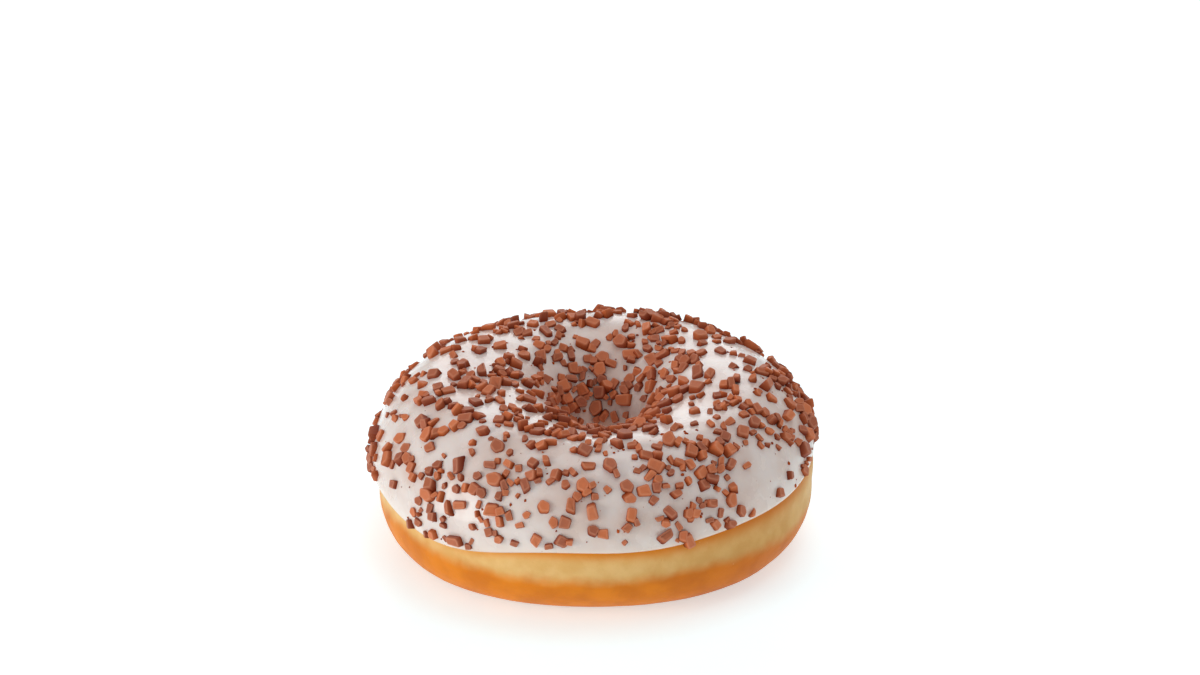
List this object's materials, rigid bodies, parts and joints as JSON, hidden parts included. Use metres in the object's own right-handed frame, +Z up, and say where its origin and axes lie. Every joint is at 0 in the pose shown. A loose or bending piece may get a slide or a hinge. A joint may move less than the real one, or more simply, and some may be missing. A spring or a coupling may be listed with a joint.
{
  "type": "iced ring doughnut",
  "caption": "Fried ring doughnut with white icing over its upper half and into its hole, strewn with milk chocolate chips.",
  "frame": {"origin": "centre of the doughnut's outline on the plane that it rests on", "axes": "+Z up along the doughnut's hole, -Y towards the side that the picture shows nearest"},
  "size_m": [0.0908, 0.0905, 0.0361],
  "materials": {
    "dough": "fried dough: golden brown crust at the foot, a pale belt above it, soft satin",
    "icing": "set white sugar icing, smooth and satin, with cocoa dust",
    "chocolate": "milk chocolate chips, matt with paler rubbed edges"
  },
  "bodies": {
    "root": {"dough": "dough", "icing": "icing"}
  },
  "joints": []
}
